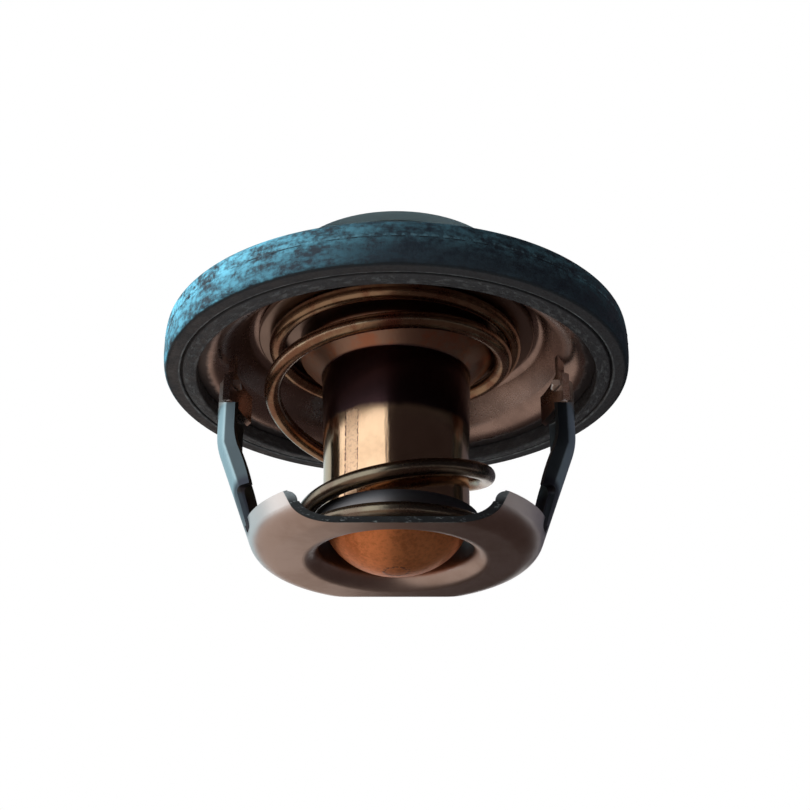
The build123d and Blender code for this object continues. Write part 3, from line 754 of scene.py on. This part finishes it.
disc_steel = drifting("disc_steel", (0.36, 0.30, 0.27), 3, 0.25, 0.15, Metallic=1.0, Roughness=0.3)
ground_steel = drifting("ground_steel", (0.62, 0.62, 0.63), 0.8, 0.15, 0.12, Metallic=1.0, Roughness=0.2)
brass = drifting("guide_brass", (0.68, 0.5, 0.24), 1, 0.22, 0.16, Metallic=1.0, Roughness=0.3)
inner_rubber = drifting("inner_rubber", (0.03, 0.03, 0.03), 1, 0.5, 0.2, Roughness=0.6)
wax_finish = drifting("wax", (0.62, 0.42, 0.22), 1, 0.5, 0.2, Roughness=0.6)
print("the disc, the piston, the guide, the diaphragm and the wax have their finishes")

# %% [markdown]
# A solid that a new mesh stands for is hidden, but it stays in the model. It gets the same finish as
# its mesh, so that no piece is bare wherever it is shown.

# %% Give each piece its finish
dressed = {
    ring: rubber,
    capsule: copper,
    wire: wire_steel,
    nodes["rubber_seal"]: rubber,
    nodes["element_cup"]: copper,
    nodes["spring"]: wire_steel,
    nodes["flange"]: flange_steel,
    nodes["lower_bridge"]: bridge_steel,
    nodes["valve_disc"]: disc_steel,
    nodes["piston"]: ground_steel,
    nodes["guide"]: brass,
    nodes["diaphragm"]: inner_rubber,
    nodes["wax"]: wax_finish,
}
for piece, finish in dressed.items():
    piece.data.materials.clear()
    piece.data.materials.append(finish.material)
print(f"{len(dressed)} meshes have a finish")

# %% [markdown]
# ## Light and floor
#
# Metal looks like what it mirrors, so large soft things light it rather than small lamps. A bright
# world would do that, but it would also wash out the dull rubber. So the world is white only where
# the camera or a mirror looks at it, and dim for the rest. The Light Path node tells these rays apart.

# %% The world
world = bpy.data.worlds.new("studio")
world.use_nodes = True
scene.world = world
sky = Graph(world.node_tree)
rays = sky.node("ShaderNodeLightPath", out=None)
by_camera = Flow(sky, rays.outputs["Is Camera Ray"])
by_mirror = Flow(sky, rays.outputs["Is Glossy Ray"])
through_glass = Flow(sky, rays.outputs["Is Transmission Ray"])
seen = sky.math("ADD", by_camera, by_mirror + through_glass, clamp=True)
sky_colour = sky.mix(seen, (0.16, 0.17, 0.18), (1, 1, 1))
sky.tree.links.new(sky_colour.socket, sky.tree.nodes["Background"].inputs["Color"])
scene.view_settings.view_transform = "Standard"
print("the world is white to the camera and to metal")

# %% [markdown]
# A window lamp on the left, and a weak warm fill from below in front, light what is dull. Metal
# doesn't mirror them, because a small bright square in a turned piece looks like a sticker.


# %% The window lamp and the fill
def soft_lamp(name, place, size, power, colour):
    """A square lamp that faces the object, in metres and watts."""
    lamp = bpy.data.lights.new(name, "AREA")
    lamp.shape = "RECTANGLE"
    lamp.size = size
    lamp.size_y = size
    lamp.energy = power
    lamp.color = colour
    stand = bpy.data.objects.new(name, lamp)
    scene.collection.objects.link(stand)
    stand.location = place
    stand.rotation_euler = (-Vector(place)).to_track_quat("-Z", "Y").to_euler()
    stand.visible_glossy = False


soft_lamp("window", (-0.42, -0.12, 0.20), 0.30, 5.0, (0.72, 0.93, 1.0))
soft_lamp("fill", (0.10, -0.40, -0.20), 0.40, 0.8, (1.0, 0.90, 0.82))
print("two lamps face the object")

# %% [markdown]
# For what metal mirrors, a studio hangs up cards. Here a bright one stands in for the window on the
# left, with a dimmer one behind it, and dark ones on the right give steel and copper their dark side.
# They are patches of a ball round the object, so that each covers the directions it should, and only
# mirrors see them.


# %% A sheet that only mirrors see
def mirror_only(name, data, colour):
    """A glowing sheet that isn't part of the object."""
    sheet = bpy.data.objects.new(name, data)
    scene.collection.objects.link(sheet)
    glow = {"Emission_Color": (*colour, 1), "Emission_Strength": 1.0}
    finish = Finish(name, (0, 0, 0), Roughness=1.0, Specular_IOR_Level=0.0, **glow)
    sheet.data.materials.append(finish.material)
    for ray in ("camera", "diffuse", "shadow", "transmission"):
        setattr(sheet, "visible_" + ray, False)
    print(f"{name} is hung")


# %% Cards round the object
CARD_COLUMNS = 24
CARD_ROWS = 12
LIGHT_CARD_REACH = 0.40
DARK_CARD_REACH = 0.42


def card(name, turns, rises, reach, colour):
    """A patch of a ball round the object, in degrees round from the camera's side and up."""
    corners = []
    faces = []
    for i in range(CARD_COLUMNS + 1):
        around = math.radians(turns[0] + (turns[1] - turns[0]) * i / CARD_COLUMNS)
        for j in range(CARD_ROWS + 1):
            rise = math.radians(rises[0] + (rises[1] - rises[0]) * j / CARD_ROWS)
            flat = reach * math.cos(rise)
            corners.append((flat * math.sin(around), -flat * math.cos(around), reach * math.sin(rise)))
            if i and j:
                k = i * (CARD_ROWS + 1) + j
                faces.append((k, k - 1, k - CARD_ROWS - 2, k - CARD_ROWS - 1))
    data = bpy.data.meshes.new(name)
    data.from_pydata(corners, [], faces)
    mirror_only(name, data, colour)


card("window_card", (-105, -15), (-12, 60), LIGHT_CARD_REACH, (1.30, 1.42, 1.45))
card("side_card", (-165, -105), (-5, 60), LIGHT_CARD_REACH, (0.56, 0.74, 0.80))
card("right_card", (-15, 100), (-5, 50), DARK_CARD_REACH, (0.02, 0.017, 0.02))
card("far_right_card", (100, 165), (-5, 75), DARK_CARD_REACH, (0.09, 0.09, 0.11))

# %% [markdown]
# The trough's flat underside looks down and would mirror one even tone. Two level cards close below
# it, a warm light one on the left and a dark one on the right, meet near the middle and give it both.
# Two more overhead, one bright and one dim, do the same for the crown.


# %% Level cards, below and above
LOW_CARD_LEVEL, HIGH_CARD_LEVEL = -0.07, 0.42
LOW_CARD_NEAR, HIGH_CARD_NEAR = -0.25, -0.45
LOW_MEETING, HIGH_MEETING = -0.008, -0.10
CARD_FAR = 0.40


def flat_card(name, left, right, near, height, colour):
    """A level card under or over the object, from a near edge to the far one, in metres."""
    edges = ((left, near), (right, near), (right, CARD_FAR), (left, CARD_FAR))
    corners = [(x, y, height) for x, y in edges]
    data = bpy.data.meshes.new(name)
    data.from_pydata(corners, [], [(0, 1, 2, 3)])
    mirror_only(name, data, colour)


low_side, high_side = (LOW_CARD_NEAR, LOW_CARD_LEVEL), (HIGH_CARD_NEAR, HIGH_CARD_LEVEL)
flat_card("low_left_card", -0.30, LOW_MEETING, *low_side, (0.46, 0.35, 0.29))
flat_card("low_right_card", LOW_MEETING, 0.30, *low_side, (0.05, 0.032, 0.028))
flat_card("high_left_card", -0.45, HIGH_MEETING, *high_side, (0.60, 1.00, 1.05))
flat_card("high_right_card", HIGH_MEETING, 0.45, *high_side, (0.11, 0.20, 0.26))

# %% [markdown]
# The floor is a wide pale sheet well below the object, for views from above. A glossy one would show
# the cards as stripes, so it has no gloss at all.

# %% The floor
FLOOR_LEVEL = -0.25
FLOOR_REACH = 3

floor_corners = [
    (x * FLOOR_REACH, y * FLOOR_REACH, FLOOR_LEVEL) for x, y in ((-1, -1), (1, -1), (1, 1), (-1, 1))
]
floor_data = bpy.data.meshes.new("floor")
floor_data.from_pydata(floor_corners, [], [(0, 1, 2, 3)])
floor = bpy.data.objects.new("floor", floor_data)
scene.collection.objects.link(floor)
pale = Finish("floor", (0.85, 0.85, 0.85), Roughness=0.9, Specular_IOR_Level=0.0)
floor.data.materials.append(pale.material)
print("the studio is set")
